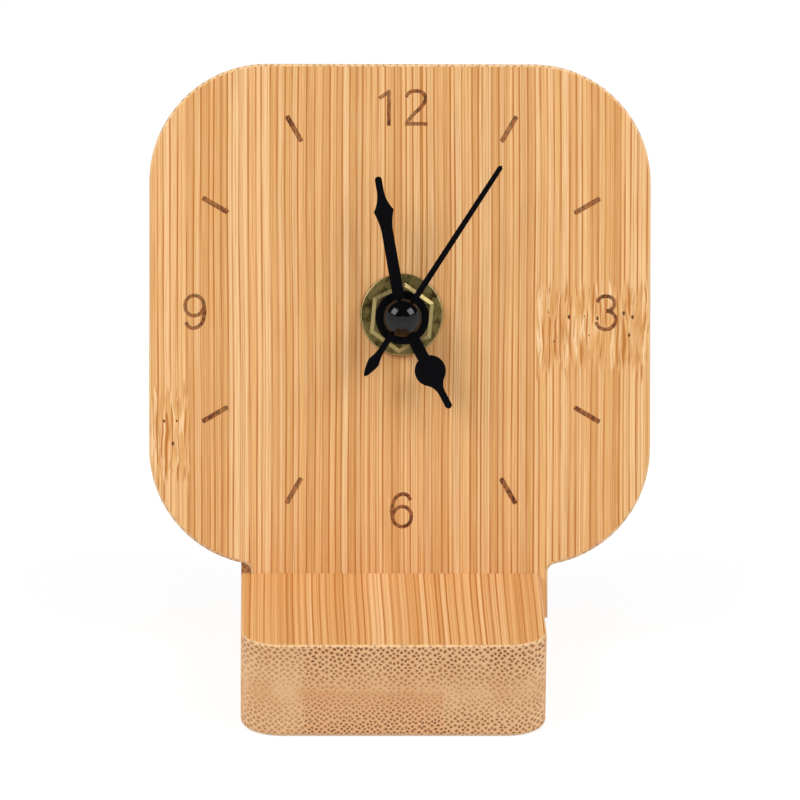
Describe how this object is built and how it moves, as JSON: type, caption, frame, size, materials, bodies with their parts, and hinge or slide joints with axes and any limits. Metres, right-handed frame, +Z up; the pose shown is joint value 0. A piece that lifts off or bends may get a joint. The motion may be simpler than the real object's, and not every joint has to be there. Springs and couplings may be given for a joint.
{
  "type": "wooden desk clock",
  "caption": "Desk clock: a leaning rounded-square wooden face stands in a slotted wooden block, with a quartz movement behind and three black hands.",
  "frame": {"origin": "centre of the wooden block's underside, on the surface that the clock stands on", "axes": "+X to the viewer's right, +Y to the back, so the dial faces -Y and leans back, +Z up"},
  "size_m": [0.0999, 0.0892, 0.1159],
  "materials": {
    "bamboo": "oiled satin",
    "brass": "aged satin",
    "hand_black": "matt black",
    "gloss_black": "gloss",
    "gasket_rubber": "matt",
    "case_plastic": "fine moulded texture",
    "frame_plastic": "moulded",
    "wheel_plastic": "moulded",
    "bright_steel": "bright",
    "soft_iron": "rolled sheet",
    "copper_wire": "enamelled wire",
    "magnet_compound": "moulded magnet compound",
    "circuit_laminate": "laminate",
    "chip_resin": "potting resin",
    "cell_jacket": "printed jacket"
  },
  "bodies": {
    "clock_body": {"base_block": "bamboo", "face_board": "bamboo", "dial_washer": "brass", "hex_nut": "brass", "shaft_bushing": "brass", "movement_gasket": "gasket_rubber", "movement_case": "case_plastic", "movement_cover": "case_plastic", "train_plate": "frame_plastic", "motor_stator": "soft_iron", "coil_core": "soft_iron", "coil_bobbin": "frame_plastic", "coil_winding": "copper_wire", "circuit_board": "circuit_laminate", "timing_chip": "chip_resin", "quartz_crystal": "bright_steel", "battery_cell": "cell_jacket", "contact_positive": "bright_steel", "contact_negative": "bright_steel"},
    "minute_hand": {"minute_hand": "hand_black", "minute_arbor": "brass", "clutch_spring": "bright_steel"},
    "hour_hand": {"hour_hand": "hand_black", "hour_wheel": "wheel_plastic"},
    "second_hand": {"second_hand": "hand_black", "hand_cap": "gloss_black", "second_wheel": "bright_steel"},
    "motion_wheel": {"motion_wheel": "wheel_plastic"},
    "setting_knob": {"setting_knob": "case_plastic"},
    "clutch_wheel": {"clutch_wheel": "wheel_plastic"},
    "third_wheel": {"third_wheel": "wheel_plastic"},
    "intermediate_wheel": {"intermediate_wheel": "wheel_plastic"},
    "motor_rotor": {"motor_rotor": "magnet_compound"}
  },
  "joints": [
    {"name": "minute_turn", "type": "hinge", "parent": "clock_body", "child": "minute_hand", "pos_m": [0.00215, 0.0234, 0.06772], "axis": [0, 0.9563, -0.2924], "continuous": true},
    {"name": "hour_turn", "type": "hinge", "parent": "clock_body", "child": "hour_hand", "pos_m": [0.00215, 0.0234, 0.06772], "axis": [0, 0.9563, -0.2924], "continuous": true},
    {"name": "motion_turn", "type": "hinge", "parent": "clock_body", "child": "motion_wheel", "pos_m": [0.01175, 0.0234, 0.06772], "axis": [0, 0.9563, -0.2924], "continuous": true},
    {"name": "knob_turn", "type": "hinge", "parent": "clock_body", "child": "setting_knob", "pos_m": [0.02135, 0.0234, 0.06772], "axis": [0, 0.9563, -0.2924], "continuous": true},
    {"name": "second_turn", "type": "hinge", "parent": "clock_body", "child": "second_hand", "pos_m": [0.00215, 0.0234, 0.06772], "axis": [0, 0.9563, -0.2924], "continuous": true},
    {"name": "third_turn", "type": "hinge", "parent": "clock_body", "child": "third_wheel", "pos_m": [-0.00658, 0.02487, 0.07254], "axis": [0, 0.9563, -0.2924], "continuous": true},
    {"name": "clutch_turn", "type": "hinge", "parent": "clock_body", "child": "clutch_wheel", "pos_m": [0.00215, 0.0234, 0.06772], "axis": [0, 0.9563, -0.2924], "continuous": true},
    {"name": "intermediate_turn", "type": "hinge", "parent": "clock_body", "child": "intermediate_wheel", "pos_m": [0.00725, 0.02598, 0.07617], "axis": [0, 0.9563, -0.2924], "continuous": true},
    {"name": "rotor_turn", "type": "hinge", "parent": "clock_body", "child": "motor_rotor", "pos_m": [0.01514, 0.02682, 0.07892], "axis": [0, 0.9563, -0.2924], "continuous": true}
  ],
  "couplings": [
    {"joint": "motion_turn", "follows": "minute_turn", "ratio": -0.33333},
    {"joint": "hour_turn", "follows": "minute_turn", "ratio": 0.083333},
    {"joint": "knob_turn", "follows": "minute_turn", "ratio": 1},
    {"joint": "third_turn", "follows": "second_turn", "ratio": -0.13333},
    {"joint": "clutch_turn", "follows": "second_turn", "ratio": 0.016667},
    {"joint": "intermediate_turn", "follows": "second_turn", "ratio": -5},
    {"joint": "rotor_turn", "follows": "second_turn", "ratio": 30}
  ]
}
